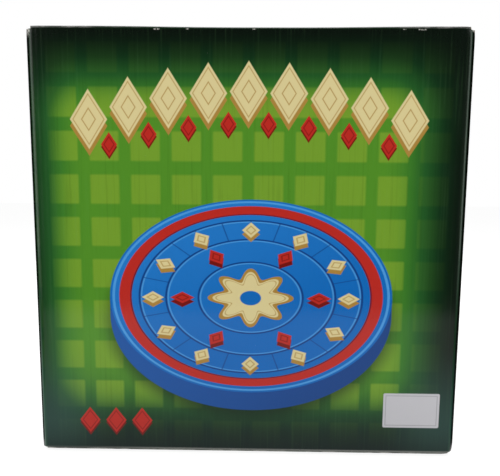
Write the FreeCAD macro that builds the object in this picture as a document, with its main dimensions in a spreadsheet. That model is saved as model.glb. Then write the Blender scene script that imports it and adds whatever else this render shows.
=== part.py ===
import FreeCAD, Part
import math
import os
import re
import Sketcher

# Word board game: a closed tuck-end carton that holds a moulded play board, with the letter
# tiles seated on its cells and four tile racks standing in its hollow.
# The origin is the middle of the carton's base, Z is up and the back panel faces -Y.
# The carton is worked out from its contents and the clearances round them.

GRID_COUNT = 10
RACK_COUNT = 4

SIZES = {
    # Carton card and the room that it leaves
    "card_thickness": 1.5,
    "corner_fold_radius": 4.0,
    "flap_fold_radius": 1.5,
    "card_gap": 0.2,
    "seat_gap": 0.3,
    "side_clearance": 11.5,
    "headroom": 19.3,
    "tuck_room": 6.2,
    "tile_headroom": 0.6,
    # Carton lids and flaps
    "back_panel_drop": 2.6,
    "lid_side_relief": 0.5,
    "lid_shoulder": 6.0,
    "tuck_length": 17.0,
    "tuck_lean": 14.0,
    "tuck_side_relief": 3.0,
    "tuck_corner_radius": 10.0,
    "dust_length": 56.0,
    "dust_front_gap": 0.6,
    "dust_back_inset": 5.0,
    "dust_taper_share": 0.46,
    "dust_corner_radius": 7.0,
    "glue_width": 18.0,
    "glue_end_inset": 14.0,
    "glue_end_taper": 9.0,
    # Play board
    "cell_pitch": 20.4,
    "cell_width": 15.2,
    "cell_height": 1.2,
    "deck_border": 7.0,
    "slope_inset": 13.0,
    "board_height": 37.5,
    "board_wall": 2.2,
    "apron_corner_height": 6.0,
    "apron_arch_rise": 16.0,
    "rib_width": 1.8,
    "rib_depth": 4.0,
    "rib_offset": 48.0,
    # Letter tiles
    "tile_width": 20.0,
    "tile_body_height": 4.2,
    "tile_face_width": 15.2,
    "tile_face_height": 1.2,
    "tile_fit": 0.3,
    # Tile racks
    "rack_length": 174.0,
    "rack_depth": 16.0,
    "rack_height": 18.0,
    "rack_lip_height": 6.2,
    "rack_lip_thickness": 2.2,
    "rack_ledge_front": 3.9,
    "rack_ledge_back": 2.0,
    "rack_ledge_width": 5.8,
    "rack_top_width": 1.8,
    "rack_back_draft": 1.0,
    "rack_wall": 1.6,
    "rack_core_height": 9.0,
    "rack_spacing": 0.6,
    "rack_rim_inset": 1.0,
    # Length by which a cut runs past what it cuts
    "cut_overrun": 2.0,
}

FITS = {
    "deck_width": f"{GRID_COUNT} * cell_pitch + 2 * deck_border",
    "board_base": "deck_width + 2 * slope_inset",
    "tile_height": "tile_body_height + tile_face_height",
    "tile_recess_width": "cell_width + 2 * tile_fit",
    "tile_recess_depth": "cell_height + tile_fit",
    "lid_layer": "card_thickness + card_gap",
    "lid_stack": "lid_layer + card_thickness",
    "half_width": "board_base / 2 + side_clearance + card_thickness",
    "half_depth": "card_thickness + (tuck_room + board_height + tile_height + tile_headroom) / 2",
    "carton_height": "2 * lid_stack + seat_gap + board_base + headroom",
    "inner_back": "card_thickness - half_depth",
    "inner_front": "half_depth - card_thickness",
    "lid_back_edge": "inner_back + card_gap",
    "tuck_half_angle": "(90 - tuck_lean) / 2",
    "dust_front": "inner_front - dust_front_gap",
    "dust_back": "inner_back + dust_back_inset",
    "board_seat": "lid_stack + seat_gap",
    "board_middle": "board_seat + board_base / 2",
    "board_back": "inner_back + tuck_room",
    "cavity_base": "board_base - 2 * board_wall",
    "cavity_top": "deck_width - 2 * board_wall",
    "cavity_height": "board_height - board_wall",
    "rack_slope_foot": "rack_lip_thickness + rack_ledge_width",
    "rack_slope_top": "rack_depth - rack_back_draft - rack_top_width",
    "rack_slope_share": "(rack_slope_top - rack_slope_foot) / (rack_height - rack_ledge_back)",
    "rack_pitch": "rack_height + rack_spacing",
}

SQUARE_FOLD = "45"
SAME_PLACE = 1e-4
WORD = re.compile(r"[a-z][a-z_]*")

doc = FreeCAD.newDocument("word_board_game")
sizes = doc.addObject("Spreadsheet::Sheet", "sizes")
for row, (alias, size) in enumerate(SIZES.items(), 1):
    sizes.set(f"A{row}", str(size))
    sizes.setAlias(f"A{row}", alias)
doc.recompute()
pieces = []


def bound(formula):
    """Spell a formula out in the sheet's cells: sizes become cells and fits their own formulas."""
    def cell(match):
        word = match.group()
        if word in SIZES:
            return "sizes." + word
        if word in FITS:
            return "(" + bound(FITS[word]) + ")"
        return word
    return WORD.sub(cell, formula)


def value(formula):
    """What a formula comes to, for the first drawing of a sketch."""
    return float(sizes.evalExpression(bound(formula)))


def new_piece(label, turn, base):
    """A body for one piece, turned as it lies in the carton and placed by three formulas."""
    body = doc.addObject("PartDesign::Body", label)
    body.AllowCompound = True
    body.Placement = FreeCAD.Placement(FreeCAD.Vector(), turn)
    for axis, formula in zip("xyz", base):
        body.setExpression("Placement.Base." + axis, bound(formula))
    pieces.append(body)
    return body


def origin_part(body, role):
    """The plane or axis of a body's own origin that has this role."""
    return next(part for part in body.Origin.OriginFeatures if part.Role == role)


def round_side(start, finish, radius, turns_left):
    """The short arc of this radius from start to finish."""
    chord = finish - start
    reach = math.sqrt(radius ** 2 - (chord.Length / 2) ** 2)
    left = FreeCAD.Vector(-chord.y, chord.x, 0).normalize()
    centre = (start + finish) / 2 + left * (reach if turns_left else -reach)
    ends = (start, finish) if turns_left else (finish, start)
    angles = [math.atan2(end.y - centre.y, end.x - centre.x) for end in ends]
    circle = Part.Circle(centre, FreeCAD.Vector(0, 0, 1), radius)
    return Part.ArcOfCircle(circle, *angles)


def outline(body, name, plane, corners, level="0", arc=None):
    """A closed sketch whose corners are pairs of formulas.

    arc names one round side: its number, its radius and whether it turns left.
    """
    sketch = body.newObject("Sketcher::SketchObject", f"{body.Label}_{name}_outline")
    sketch.AttachmentSupport = [(origin_part(body, plane), "")]
    sketch.MapMode = "FlatFace"
    sketch.setExpression("AttachmentOffset.Base.z", bound(level))
    spots = [FreeCAD.Vector(value(across), value(up), 0) for across, up in corners]
    ends = []
    for side, start in enumerate(spots):
        finish = spots[(side + 1) % len(spots)]
        if arc and arc[0] == side:
            sketch.addGeometry(round_side(start, finish, value(arc[1]), arc[2]))
            ends.append((1, 2) if arc[2] else (2, 1))
        else:
            sketch.addGeometry(Part.LineSegment(start, finish))
            ends.append((1, 2))
    for side, corner in enumerate(corners):
        following = (side + 1) % len(corners)
        sketch.addConstraint(
            Sketcher.Constraint("Coincident", side, ends[side][1], following, ends[following][0]))
        for kind, formula in zip(("DistanceX", "DistanceY"), corner):
            place = Sketcher.Constraint(kind, -1, 1, side, ends[side][0], value(formula))
            number = sketch.addConstraint(place)
            sketch.setExpression(f"Constraints[{number}]", bound(formula))
    if arc:
        number = sketch.addConstraint(Sketcher.Constraint("Radius", arc[0], value(arc[1])))
        sketch.setExpression(f"Constraints[{number}]", bound(arc[1]))
    return sketch


def rectangle(half_across, low, high):
    """Corners of a rectangle centred across, between two heights."""
    left = f"-({half_across})"
    return [(left, low), (half_across, low), (half_across, high), (left, high)]


def square(width):
    """Corners of a square centred on the origin."""
    return rectangle(f"({width}) / 2", f"-({width}) / 2", f"({width}) / 2")


def pad(body, sketch, name, length, reverse=False):
    """Add a sketch as a solid of this length."""
    feature = body.newObject("PartDesign::Pad", f"{body.Label}_{name}")
    feature.Profile = sketch
    feature.Reversed = reverse
    feature.setExpression("Length", bound(length))
    return feature


def pocket(body, sketch, name, length, reverse=False):
    """Cut a sketch away to this depth."""
    feature = body.newObject("PartDesign::Pocket", f"{body.Label}_{name}")
    feature.Profile = sketch
    feature.Reversed = reverse
    feature.setExpression("Length", bound(length))
    return feature


def turned_copies(body, feature, name):
    """Repeat a feature on the four sides of a body."""
    pattern = body.newObject("PartDesign::PolarPattern", f"{body.Label}_{name}")
    pattern.Originals = [feature]
    pattern.Axis = (origin_part(body, "Z_Axis"), [""])
    pattern.Angle = 360
    pattern.Occurrences = 4
    body.Tip = pattern
    return pattern


def round_free_corners(body, feature, free_end, radius):
    """Round the corners of a flap's free edge."""
    doc.recompute()
    end = value(free_end)
    names = []
    for number, edge in enumerate(feature.Shape.Edges, 1):
        heights = [vertex.Z for vertex in edge.Vertexes]
        across = edge.Vertexes[0].X - edge.Vertexes[-1].X
        at_end = all(abs(height - end) < SAME_PLACE for height in heights)
        if at_end and abs(across) < SAME_PLACE:
            names.append(f"Edge{number}")
    rounding = body.newObject("PartDesign::Fillet", f"{body.Label}_corners")
    rounding.Base = (feature, names)
    rounding.setExpression("Radius", bound(radius))
    return rounding


def fold(body, edge, place, half_angle):
    """Cut one edge of a card plate to its half of a rounded fold.

    The two halves of a fold meet on a mitre. The outside follows an arc that is tangent to both plates.
    """
    far = edge in ("top", "right")
    upright = edge in ("top", "bottom")
    radius = "flap_fold_radius" if upright else "corner_fold_radius"
    tangent = f"{radius} / tan({half_angle})"
    inner_corner = f"card_thickness / tan({half_angle})"
    profile = [
        ("0", tangent),
        (f"{radius} * (1 - sin({half_angle}))", f"{tangent} - {radius} * cos({half_angle})"),
        ("card_thickness", inner_corner),
        ("card_thickness + cut_overrun", inner_corner),
        ("card_thickness + cut_overrun", "-cut_overrun"),
        ("-cut_overrun", "-cut_overrun"),
        ("-cut_overrun", tangent),
    ]
    sign = "-" if far else "+"
    corners = [(depth, f"{place} {sign} ({along})") for depth, along in profile]
    if not upright:
        corners = [(along, depth) for depth, along in corners]
    plane = "YZ_Plane" if upright else "XY_Plane"
    turns_left = far != upright
    sketch = outline(body, edge + "_fold", plane, corners, arc=(0, radius, turns_left))
    cut = body.newObject("PartDesign::Pocket", f"{body.Label}_{edge}_fold")
    cut.Profile = sketch
    cut.Type = "ThroughAll"
    cut.SideType = "Symmetric"
    return cut


def card_plate(label, corners, folds, turn, base):
    """A flat plate of carton card, its outer face on local Y zero, with its folded edges cut."""
    body = new_piece(label, turn, base)
    feature = pad(body, outline(body, "blank", "XZ_Plane", corners), "card", "card_thickness", True)
    for edge, place, half_angle in folds:
        feature = fold(body, edge, place, half_angle)
    return body, feature


def turn_about(axis, angle):
    """A rotation about one of the frame's axes."""
    return FreeCAD.Rotation(FreeCAD.Vector(*axis), angle)


def turned_axes(*axes):
    """The rotation that takes the frame's axes to these three."""
    return FreeCAD.Rotation(*[FreeCAD.Vector(*axis) for axis in axes])


def side_folds(half_across):
    """The two upright folds of a wall of the sleeve."""
    return [("left", f"-{half_across}", SQUARE_FOLD), ("right", half_across, SQUARE_FOLD)]


def build_sleeve():
    """The four walls of the carton and the flap that glues them into a sleeve."""
    card_plate("back_panel", rectangle("half_width", "back_panel_drop", "carton_height - back_panel_drop"),
               side_folds("half_width"), turn_about((0, 0, 1), 0), ("0", "-half_depth", "0"))
    lid_folds = [("top", "carton_height", SQUARE_FOLD), ("bottom", "0", SQUARE_FOLD)]
    card_plate("front_panel", rectangle("half_width", "0", "carton_height"),
               side_folds("half_width") + lid_folds, turn_about((0, 0, 1), 180), ("0", "half_depth", "0"))
    dust_folds = [("top", "carton_height - lid_layer", SQUARE_FOLD), ("bottom", "lid_layer", SQUARE_FOLD)]
    sides = (("left_side_panel", -90, "-half_width"), ("right_side_panel", 90, "half_width"))
    for label, angle, place in sides:
        card_plate(label, rectangle("half_depth", "lid_layer", "carton_height - lid_layer"),
                   side_folds("half_depth") + dust_folds, turn_about((0, 0, 1), angle), (place, "0", "0"))
    glue_corners = [
        ("-inner_front", "glue_end_inset"),
        ("glue_width - inner_front", "glue_end_inset + glue_end_taper"),
        ("glue_width - inner_front", "carton_height - glue_end_inset - glue_end_taper"),
        ("-inner_front", "carton_height - glue_end_inset"),
    ]
    card_plate("glue_flap", glue_corners, [], turn_about((0, 0, 1), -90),
               ("card_thickness - half_width", "0", "0"))


def lid_blank(hinge, shoulder, back):
    """Corners of a lid that narrows to its tuck flap at the back."""
    lid_half = "half_width - lid_side_relief"
    tuck_half = "half_width - tuck_side_relief"
    right_side = [(tuck_half, back), (lid_half, shoulder), (lid_half, hinge)]
    left_side = [(f"-({across})", up) for across, up in reversed(right_side)]
    return right_side + left_side


def build_lids():
    """The two lids, folded off the front panel, and the flaps that tuck behind the back panel."""
    card_plate("top_lid_panel", lid_blank("half_depth", "lid_back_edge + lid_shoulder", "lid_back_edge"),
               [("top", "half_depth", SQUARE_FOLD), ("bottom", "lid_back_edge", "tuck_half_angle")],
               turn_about((1, 0, 0), -90), ("0", "0", "carton_height"))
    card_plate("bottom_lid_panel",
               lid_blank("-half_depth", "-lid_back_edge - lid_shoulder", "-lid_back_edge"),
               [("bottom", "-half_depth", SQUARE_FOLD), ("top", "-lid_back_edge", "tuck_half_angle")],
               turn_about((1, 0, 0), 90), ("0", "0", "0"))
    tuck_half = "half_width - tuck_side_relief"
    for label, lean_axis, low, high, hinge_edge, free_end, height in (
            ("top_tuck_flap", (1, 0, 0), "-tuck_length", "0", "top", "-tuck_length", "carton_height"),
            ("bottom_tuck_flap", (-1, 0, 0), "0", "tuck_length", "bottom", "tuck_length", "0")):
        turn = turn_about(lean_axis, SIZES["tuck_lean"])
        body, feature = card_plate(label, rectangle(tuck_half, low, high),
                                   [(hinge_edge, "0", "tuck_half_angle")],
                                   turn, ("0", "lid_back_edge", height))
        body.setExpression("Placement.Rotation.Angle", bound("tuck_lean"))
        round_free_corners(body, feature, free_end, "tuck_corner_radius")


def build_dust_flaps():
    """The flaps folded off the side panels, tapered clear of the lid's fold as the lid swings."""
    levels = (
        ("top", "-1", turned_axes((0, -1, 0), (0, 0, -1), (1, 0, 0)), "carton_height - lid_layer"),
        ("bottom", "1", turned_axes((0, 1, 0), (0, 0, 1), (1, 0, 0)), "lid_layer"),
    )
    for level, depth_sign, turn, height in levels:
        for side, side_sign, hinge_edge in (("left", "-1", "bottom"), ("right", "1", "top")):
            hinge = f"{side_sign} * half_width"
            free_end = f"{side_sign} * (half_width - dust_length)"
            corners = [
                (f"{depth_sign} * dust_back", hinge),
                (f"{depth_sign} * dust_front", hinge),
                (f"{depth_sign} * (dust_front - dust_taper_share * dust_length)", free_end),
                (f"{depth_sign} * dust_back", free_end),
            ]
            body, feature = card_plate(f"{level}_{side}_dust_flap", corners,
                                       [(hinge_edge, hinge, SQUARE_FOLD)], turn, ("0", "0", height))
            round_free_corners(body, feature, free_end, "dust_corner_radius")


def lofted(body, kind, name, sections):
    """A loft between square sections, each a width and a height."""
    sketches = [outline(body, f"{name}_{number}", "XY_Plane", square(width), level=height)
                for number, (width, height) in enumerate(sections)]
    feature = body.newObject(kind, f"{body.Label}_{name}")
    feature.Profile = sketches[0]
    feature.Sections = sketches[1:]
    feature.Ruled = True
    return feature


def arch(half_span, spring, rise):
    """Corners of an apron face whose top is a shallow arch, and that arch's radius."""
    corners = rectangle(half_span, "0", spring)
    radius = f"(({half_span}) ^ 2 + ({rise}) ^ 2) / (2 * ({rise}))"
    return corners, (2, radius, True)


def build_board():
    """The moulded play board: sloped sides, arched aprons, raised cells and a ribbed hollow."""
    body = new_piece("game_board", turn_about((1, 0, 0), -90), ("0", "board_back", "board_middle"))
    pad(body, outline(body, "rim", "XY_Plane", square("board_base")), "rim", "apron_corner_height")
    lofted(body, "PartDesign::AdditiveLoft", "slopes",
           [("board_base", "apron_corner_height"), ("deck_width", "board_height")])
    corners, crown = arch("board_base / 2", "apron_corner_height", "apron_arch_rise")
    apron_face = outline(body, "apron", "XZ_Plane", corners, level="board_base / 2", arc=crown)
    turned_copies(body, pad(body, apron_face, "apron", "slope_inset", True), "aprons")

    pocket(body, outline(body, "rim_hollow", "XY_Plane", square("cavity_base")), "rim_hollow",
           "apron_corner_height", True)
    lofted(body, "PartDesign::SubtractiveLoft", "hollow",
           [("cavity_base", "apron_corner_height"), ("cavity_top", "cavity_height")])
    corners, crown = arch("cavity_base / 2", "apron_corner_height - board_wall", "apron_arch_rise")
    apron_back = outline(body, "apron_hollow", "XZ_Plane", corners, level="cavity_base / 2", arc=crown)
    turned_copies(body, pocket(body, apron_back, "apron_hollow", "slope_inset"), "apron_hollows")

    first_cell = f"-({GRID_COUNT} - 1) / 2 * cell_pitch"
    low = f"{first_cell} - cell_width / 2"
    high = f"{first_cell} + cell_width / 2"
    cell_face = outline(body, "cell", "XY_Plane", [(low, low), (high, low), (high, high), (low, high)],
                        level="board_height")
    cell = pad(body, cell_face, "cell", "cell_height")
    cells = body.newObject("PartDesign::LinearPattern", "game_board_cells")
    cells.Originals = [cell]
    cells.Direction = (origin_part(body, "X_Axis"), [""])
    cells.Direction2 = (origin_part(body, "Y_Axis"), [""])
    cells.Occurrences = GRID_COUNT
    cells.Occurrences2 = GRID_COUNT
    cells.setExpression("Length", bound(f"({GRID_COUNT} - 1) * cell_pitch"))
    cells.setExpression("Length2", bound(f"({GRID_COUNT} - 1) * cell_pitch"))
    body.Tip = cells

    rib_corners = rectangle("cavity_top / 2", "rib_offset - rib_width / 2", "rib_offset + rib_width / 2")
    rib_face = outline(body, "rib", "XY_Plane", rib_corners, level="cavity_height")
    turned_copies(body, pad(body, rib_face, "rib", "rib_depth", True), "ribs")


def build_tile_rows():
    """Letter tiles with a raised face and a recess that seats on a cell of the board, row by row."""
    first_tile = f"-({GRID_COUNT} - 1) / 2 * cell_pitch"
    for row in range(GRID_COUNT):
        height = f"board_middle + ({GRID_COUNT - 1 - 2 * row}) / 2 * cell_pitch"
        body = new_piece(f"letter_tiles_row_{row + 1:02d}", turn_about((1, 0, 0), -90),
                         ("0", "board_back + board_height", height))

        def tile_square(width):
            return [(f"{first_tile} + {across}", up) for across, up in square(width)]

        tile_outline = outline(body, "body", "XY_Plane", tile_square("tile_width"))
        face_outline = outline(body, "face", "XY_Plane", tile_square("tile_face_width"),
                               level="tile_body_height")
        recess_outline = outline(body, "recess", "XY_Plane", tile_square("tile_recess_width"))
        features = [
            pad(body, tile_outline, "body", "tile_body_height"),
            pad(body, face_outline, "face", "tile_face_height"),
            pocket(body, recess_outline, "recess", "tile_recess_depth", True),
        ]
        tiles = body.newObject("PartDesign::LinearPattern", f"{body.Label}_tiles")
        tiles.Originals = features
        tiles.Direction = (origin_part(body, "X_Axis"), [""])
        tiles.Occurrences = GRID_COUNT
        tiles.setExpression("Length", bound(f"({GRID_COUNT} - 1) * cell_pitch"))
        body.Tip = tiles


def build_racks():
    """Tile racks standing on end in the board's hollow, with a ledge, a lip and a cored underside."""
    profile = [
        ("0", "0"),
        ("0", "rack_lip_height"),
        ("rack_lip_thickness", "rack_lip_height"),
        ("rack_lip_thickness", "rack_ledge_front"),
        ("rack_slope_foot", "rack_ledge_back"),
        ("rack_slope_top", "rack_height"),
        ("rack_depth - rack_back_draft", "rack_height"),
        ("rack_depth", "0"),
    ]
    core_front = "rack_slope_foot + rack_wall + rack_slope_share * (rack_core_height - rack_ledge_back)"
    core_back = "rack_depth - rack_wall"
    core = [
        ("rack_slope_foot + rack_wall", "-cut_overrun"),
        (core_back, "-cut_overrun"),
        (f"{core_back} - rack_back_draft * rack_core_height / rack_height", "rack_core_height"),
        (core_front, "rack_core_height"),
    ]
    for number in range(RACK_COUNT):
        foot = f"({2 * number - RACK_COUNT} / 2) * rack_pitch + rack_spacing / 2"
        body = new_piece(f"tile_rack_{number + 1}", FreeCAD.Rotation(), (
            foot, "board_back + rack_rim_inset", "board_seat + board_wall"))
        section = [(up, depth) for depth, up in profile]
        pad(body, outline(body, "section", "XY_Plane", section), "bar", "rack_length")
        hollow = outline(body, "core", "XY_Plane", [(up, depth) for depth, up in core], level="rack_wall")
        pocket(body, hollow, "core", "rack_length - 2 * rack_wall", True)


build_sleeve()
build_lids()
build_dust_flaps()
build_board()
build_tile_rows()
build_racks()
doc.recompute()

for item in doc.Objects:
    if "Invalid" in item.State or "Error" in item.State:
        raise RuntimeError(f"{item.Label} failed: {item.getStatusString()}")
for piece in pieces:
    if piece.Shape.isNull() or not piece.Shape.isValid():
        raise RuntimeError(f"{piece.Label} has no valid shape")

os.makedirs("parts", exist_ok=True)
for piece in pieces:
    piece.Shape.exportStep(f"parts/{piece.Label}.step")
    box = piece.Shape.BoundBox
    print(f"{piece.Label}: {len(piece.Shape.Solids)} solids, {piece.Shape.Volume:.0f} mm3,",
          f"x {box.XMin:.2f} to {box.XMax:.2f}, y {box.YMin:.2f} to {box.YMax:.2f},",
          f"z {box.ZMin:.2f} to {box.ZMax:.2f}")
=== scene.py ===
import math

import bmesh
import bpy
from mathutils import Matrix, Vector


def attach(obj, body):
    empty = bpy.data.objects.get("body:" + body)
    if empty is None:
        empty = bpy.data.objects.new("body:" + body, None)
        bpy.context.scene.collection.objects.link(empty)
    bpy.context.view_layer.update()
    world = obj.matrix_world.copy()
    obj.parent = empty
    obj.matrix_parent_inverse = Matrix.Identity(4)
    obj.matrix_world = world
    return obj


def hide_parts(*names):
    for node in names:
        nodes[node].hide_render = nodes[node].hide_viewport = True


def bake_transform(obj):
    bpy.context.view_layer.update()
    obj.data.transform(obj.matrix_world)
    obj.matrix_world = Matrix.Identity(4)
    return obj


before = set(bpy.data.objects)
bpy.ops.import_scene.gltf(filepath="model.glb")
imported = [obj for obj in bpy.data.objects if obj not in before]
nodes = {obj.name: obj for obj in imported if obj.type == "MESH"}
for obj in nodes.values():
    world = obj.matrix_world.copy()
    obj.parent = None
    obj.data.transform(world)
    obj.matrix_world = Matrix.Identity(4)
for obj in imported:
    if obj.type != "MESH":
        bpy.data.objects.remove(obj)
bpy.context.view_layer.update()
scene = bpy.context.scene

# Millimetres in a metre
MM = 1000.0

# Carton sizes in millimetres
HALF_WIDTH = 135.0
HALF_DEPTH = 26.35
HEIGHT = 270.0
CARD = 1.5
PANEL_TOP = 267.4
LID_EDGE = -24.65
LID_LAYER = 1.7
TUCK_LEAN = math.radians(14.0)
FOLD_RADIUS = 1.5
FLUTE_PITCH = 3.2

# Contents: their pieces, and the tiles' sizes and the board's middle height in millimetres
RACKS = [f"tile_rack_{i}" for i in range(1, 5)]
TILE_ROWS = [f"letter_tiles_row_{i:02}" for i in range(1, 11)]
TILE_PITCH = 20.4
TILE_SQUARE_HALF = 6.6
BOARD_MIDDLE = 125.5

# Directions as the photograph shows them
RIGHT = (1.0, 0.0, 0.0)
LEFT = (-1.0, 0.0, 0.0)
REAR = (0.0, 1.0, 0.0)
FRONT = (0.0, -1.0, 0.0)
UP = (0.0, 0.0, 1.0)
DOWN = (0.0, 0.0, -1.0)

# Print colours
GROUND = ((0.0, "0C140E"), (0.22, "123018"), (0.5, "225424"), (0.76, "397426"), (1.0, "4E8726"))
TEAL = "0A2220"
SQUARE = "72982D"
STREAK_PALE = "5E8A5A"
STREAK_DARK = "060A07"
CREAM = "D2C48F"
TAN = "A47F3C"
BLUE = "1364B0"
BRIGHT_BLUE = "2B7DC8"
PALE_BLUE = "4A93D2"
WALL_BLUE = "1B559F"
DEEP_BLUE = "143F7E"
RED = "B32A22"
DEEP_RED = "701612"
TRAY_SHADE = "0A1A12"
PATCH = "BDBCC0"
PATCH_LINE = "8C8B90"

# Wear and card colours, and painted highlights, shade and reflection haze along the folds and edges
FOLD_HIGHLIGHT_GREEN = "3F6B4C"
FOLD_SHADE_BLACK = "040704"
FOLD_HIGHLIGHT_PALE = "7A9186"
CORNER_REFLECTION_HAZE = "34584F"
EDGE_SCUFF_AND_HIGHLIGHT = "7B7D78"
CREASE_SCUFF = "7E7D7B"
LOW_CREASE_SCUFF_AND_HIGHLIGHT = "C6C5C0"
FLECK = "B9BDB4"
WORN_PAPER = "D6D4CC"
LINER = ((0.3, "8B7C66"), (0.55, "A5967D"), (0.75, "B9AC94"))
LINER_FLECK = "D3C9B4"
FLUTE_SHADE = ((0.3, "3A3328"), (0.7, "4D4436"))
FLUTE_PAPER = "C4B9A3"

# Plastic colours, from dark to pale
BOARD_BLUES = ("0D4E93", "115DA8", "1668B6")
RACK_REDS = ("98201C", "AE2823", "BC302A")
TILE_CREAMS = ("C6B77E", "D2C48F", "DDD1A2")
PLASTIC_STOPS = (0.3, 0.5, 0.72)


def colour(code):
    channels = [int(code[i:i + 2], 16) / 255 for i in (0, 2, 4)]
    linear = [c / 12.92 if c <= 0.04045 else ((c + 0.055) / 1.055) ** 2.4 for c in channels]
    return (*linear, 1.0)


# Shader arithmetic
class Value:
    """A number or colour in a node tree that can stand in a formula."""

    def __init__(self, tree, socket):
        self.tree = tree
        self.socket = socket

    def through(self, operation, *others):
        node = self.tree.nodes.new("ShaderNodeMath")
        node.operation = operation
        for slot, item in zip(node.inputs, (self,) + others):
            feed(self.tree, slot, item)
        return Value(self.tree, node.outputs[0])

    def __add__(self, other):
        return self.through("ADD", other)

    def __sub__(self, other):
        return self.through("SUBTRACT", other)

    def __mul__(self, other):
        return self.through("MULTIPLY", other)

    def __truediv__(self, other):
        return self.through("DIVIDE", other)

    def __abs__(self):
        return self.through("ABSOLUTE")

    def least(self, other):
        return self.through("MINIMUM", other)

    def most(self, other):
        return self.through("MAXIMUM", other)

    def below(self, other):
        return self.through("LESS_THAN", other)

    def above(self, other):
        return self.through("GREATER_THAN", other)


def feed(tree, slot, item):
    if isinstance(item, Value):
        tree.links.new(item.socket, slot)
    else:
        slot.default_value = item


def smooth(value, low, high):
    """Runs from 0 at low to 1 at high."""
    node = value.tree.nodes.new("ShaderNodeMapRange")
    node.interpolation_type = "SMOOTHSTEP"
    feed(value.tree, node.inputs["Value"], value)
    node.inputs["From Min"].default_value = low
    node.inputs["From Max"].default_value = high
    return Value(value.tree, node.outputs["Result"])


def over(base, code, mask):
    """The colour laid over base where mask is 1; a factor on the mask is the colour's share."""
    node = mask.tree.nodes.new("ShaderNodeMix")
    node.data_type = "RGBA"
    feed(mask.tree, node.inputs[0], mask)
    feed(mask.tree, node.inputs[6], base)
    feed(mask.tree, node.inputs[7], colour(code) if isinstance(code, str) else code)
    return Value(mask.tree, node.outputs[2])


def ramp(value, stops):
    node = value.tree.nodes.new("ShaderNodeValToRGB")
    elements = node.color_ramp.elements
    while len(elements) < len(stops):
        elements.new(1.0)
    for element, (place, code) in zip(elements, stops):
        element.position = place
        element.color = colour(code)
    feed(value.tree, node.inputs["Fac"], value)
    return Value(value.tree, node.outputs["Color"])


def noise(tree, place, scale, detail=2.0, stretch=(1.0, 1.0, 1.0)):
    """Soft noise from 0 to 1, its scale in waves per metre."""
    mapping = tree.nodes.new("ShaderNodeMapping")
    mapping.inputs["Scale"].default_value = stretch
    tree.links.new(place, mapping.inputs["Vector"])
    node = tree.nodes.new("ShaderNodeTexNoise")
    node.inputs["Scale"].default_value = scale
    node.inputs["Detail"].default_value = detail
    tree.links.new(mapping.outputs[0], node.inputs["Vector"])
    return Value(tree, node.outputs["Fac"])


def cells(value, pitch):
    """Distance to the nearest multiple of pitch."""
    return value - (value / pitch).through("ROUND") * pitch


def nearest(value, step, low, high):
    """The nearest of a row of places, numbered from low to high, and the distance from it."""
    number = (value / step).through("ROUND").least(high).most(low)
    return number, value - number * step


def length(a, b):
    return (a * a + b * b).through("SQRT")


def rounded_box(u, v, half_u, half_v, corner):
    """Distance to the edge of a box with rounded corners, below zero inside it."""
    across = abs(u) - (half_u - corner)
    up = abs(v) - (half_v - corner)
    outside = length(across.most(0.0), up.most(0.0))
    return outside + across.most(up).least(0.0) - corner


LOZENGE_SLOPE = 0.8


def lozenge(u, v, half_u, half_v):
    """Roughly the distance to a lozenge's edge, below zero inside it."""
    return (abs(u) / half_u + abs(v) / half_v - 1.0) * (min(half_u, half_v) * LOZENGE_SLOPE)


def cover(distance, soft=0.3):
    """1 inside a shape and 0 outside it, over a soft edge in millimetres."""
    return smooth(distance, soft, -soft)


def line(distance, half_width, soft=0.25):
    """1 along a shape's edge."""
    return cover(abs(distance) - half_width, soft)


# Ground of the print: its grid of squares, streaks and darker foot, in millimetres
PITCH = (25.3, 26.4)
SMALL_PITCH = (12.65, 13.2)
SQUARE_HALF = 9.0
SMALL_SQUARE_HALF = 4.4
SQUARE_RISE = 13.4
SQUARE_CORNER = 1.0
SQUARE_BLUR = 0.9
STREAK_SCALE = 620.0
STREAK_STRETCH = 40.0
TEAL_REACH = (70.0, 8.0)


def streaks(u, v):
    """Fine uneven lines that run up the print, from 0 to 1."""
    place = u.tree.nodes.new("ShaderNodeCombineXYZ")
    feed(u.tree, place.inputs["X"], u / MM)
    feed(u.tree, place.inputs["Y"], v / (MM * STREAK_STRETCH))
    return noise(u.tree, place.outputs[0], STREAK_SCALE, 3.0)


def field(u, v, left, right, low, high, glow_most=1.0, pitch=PITCH, half=SQUARE_HALF):
    """Green ground that darkens to its edges, with a grid of paler squares.

    left, right, low and high each say where the ground is darkest and where it is full green.
    """
    glow = smooth(u, *left) * smooth(u, *right) * smooth(v, *low) * smooth(v, *high) * glow_most
    column = cells(u - pitch[0] / 2, pitch[0])
    row = cells(v - SQUARE_RISE, pitch[1])
    squares = cover(rounded_box(column, row, half, half, SQUARE_CORNER), SQUARE_BLUR)
    lines = streaks(u, v)
    base = over(ramp(glow, GROUND), TEAL, smooth(v, *TEAL_REACH) * 0.55)
    base = over(base, SQUARE, squares * (smooth(glow, 0.5, 1.0) * 0.76 + glow * 0.12))
    base = over(base, STREAK_PALE, smooth(lines, 0.52, 0.75) * 0.05)
    return over(base, STREAK_DARK, smooth(lines, 0.48, 0.28) * 0.11)


# Tokens
TOKEN_LINE_INSET = 1.5
FINE_LINE = 0.3


def raised(base, distance, under, face, edge):
    """A flat token with a darker lower side and a thin line inside its edge."""
    base = over(base, edge, cover(under))
    base = over(base, face, cover(distance))
    return over(base, edge, line(distance + TOKEN_LINE_INSET, FINE_LINE) * 0.7)


def lozenge_token(base, u, v, half, drop, face=CREAM, edge=TAN):
    """A blank lozenge whose lower side shows by drop millimetres."""
    return raised(base, lozenge(u, v, *half), lozenge(u, v + drop, *half), face, edge)


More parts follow.
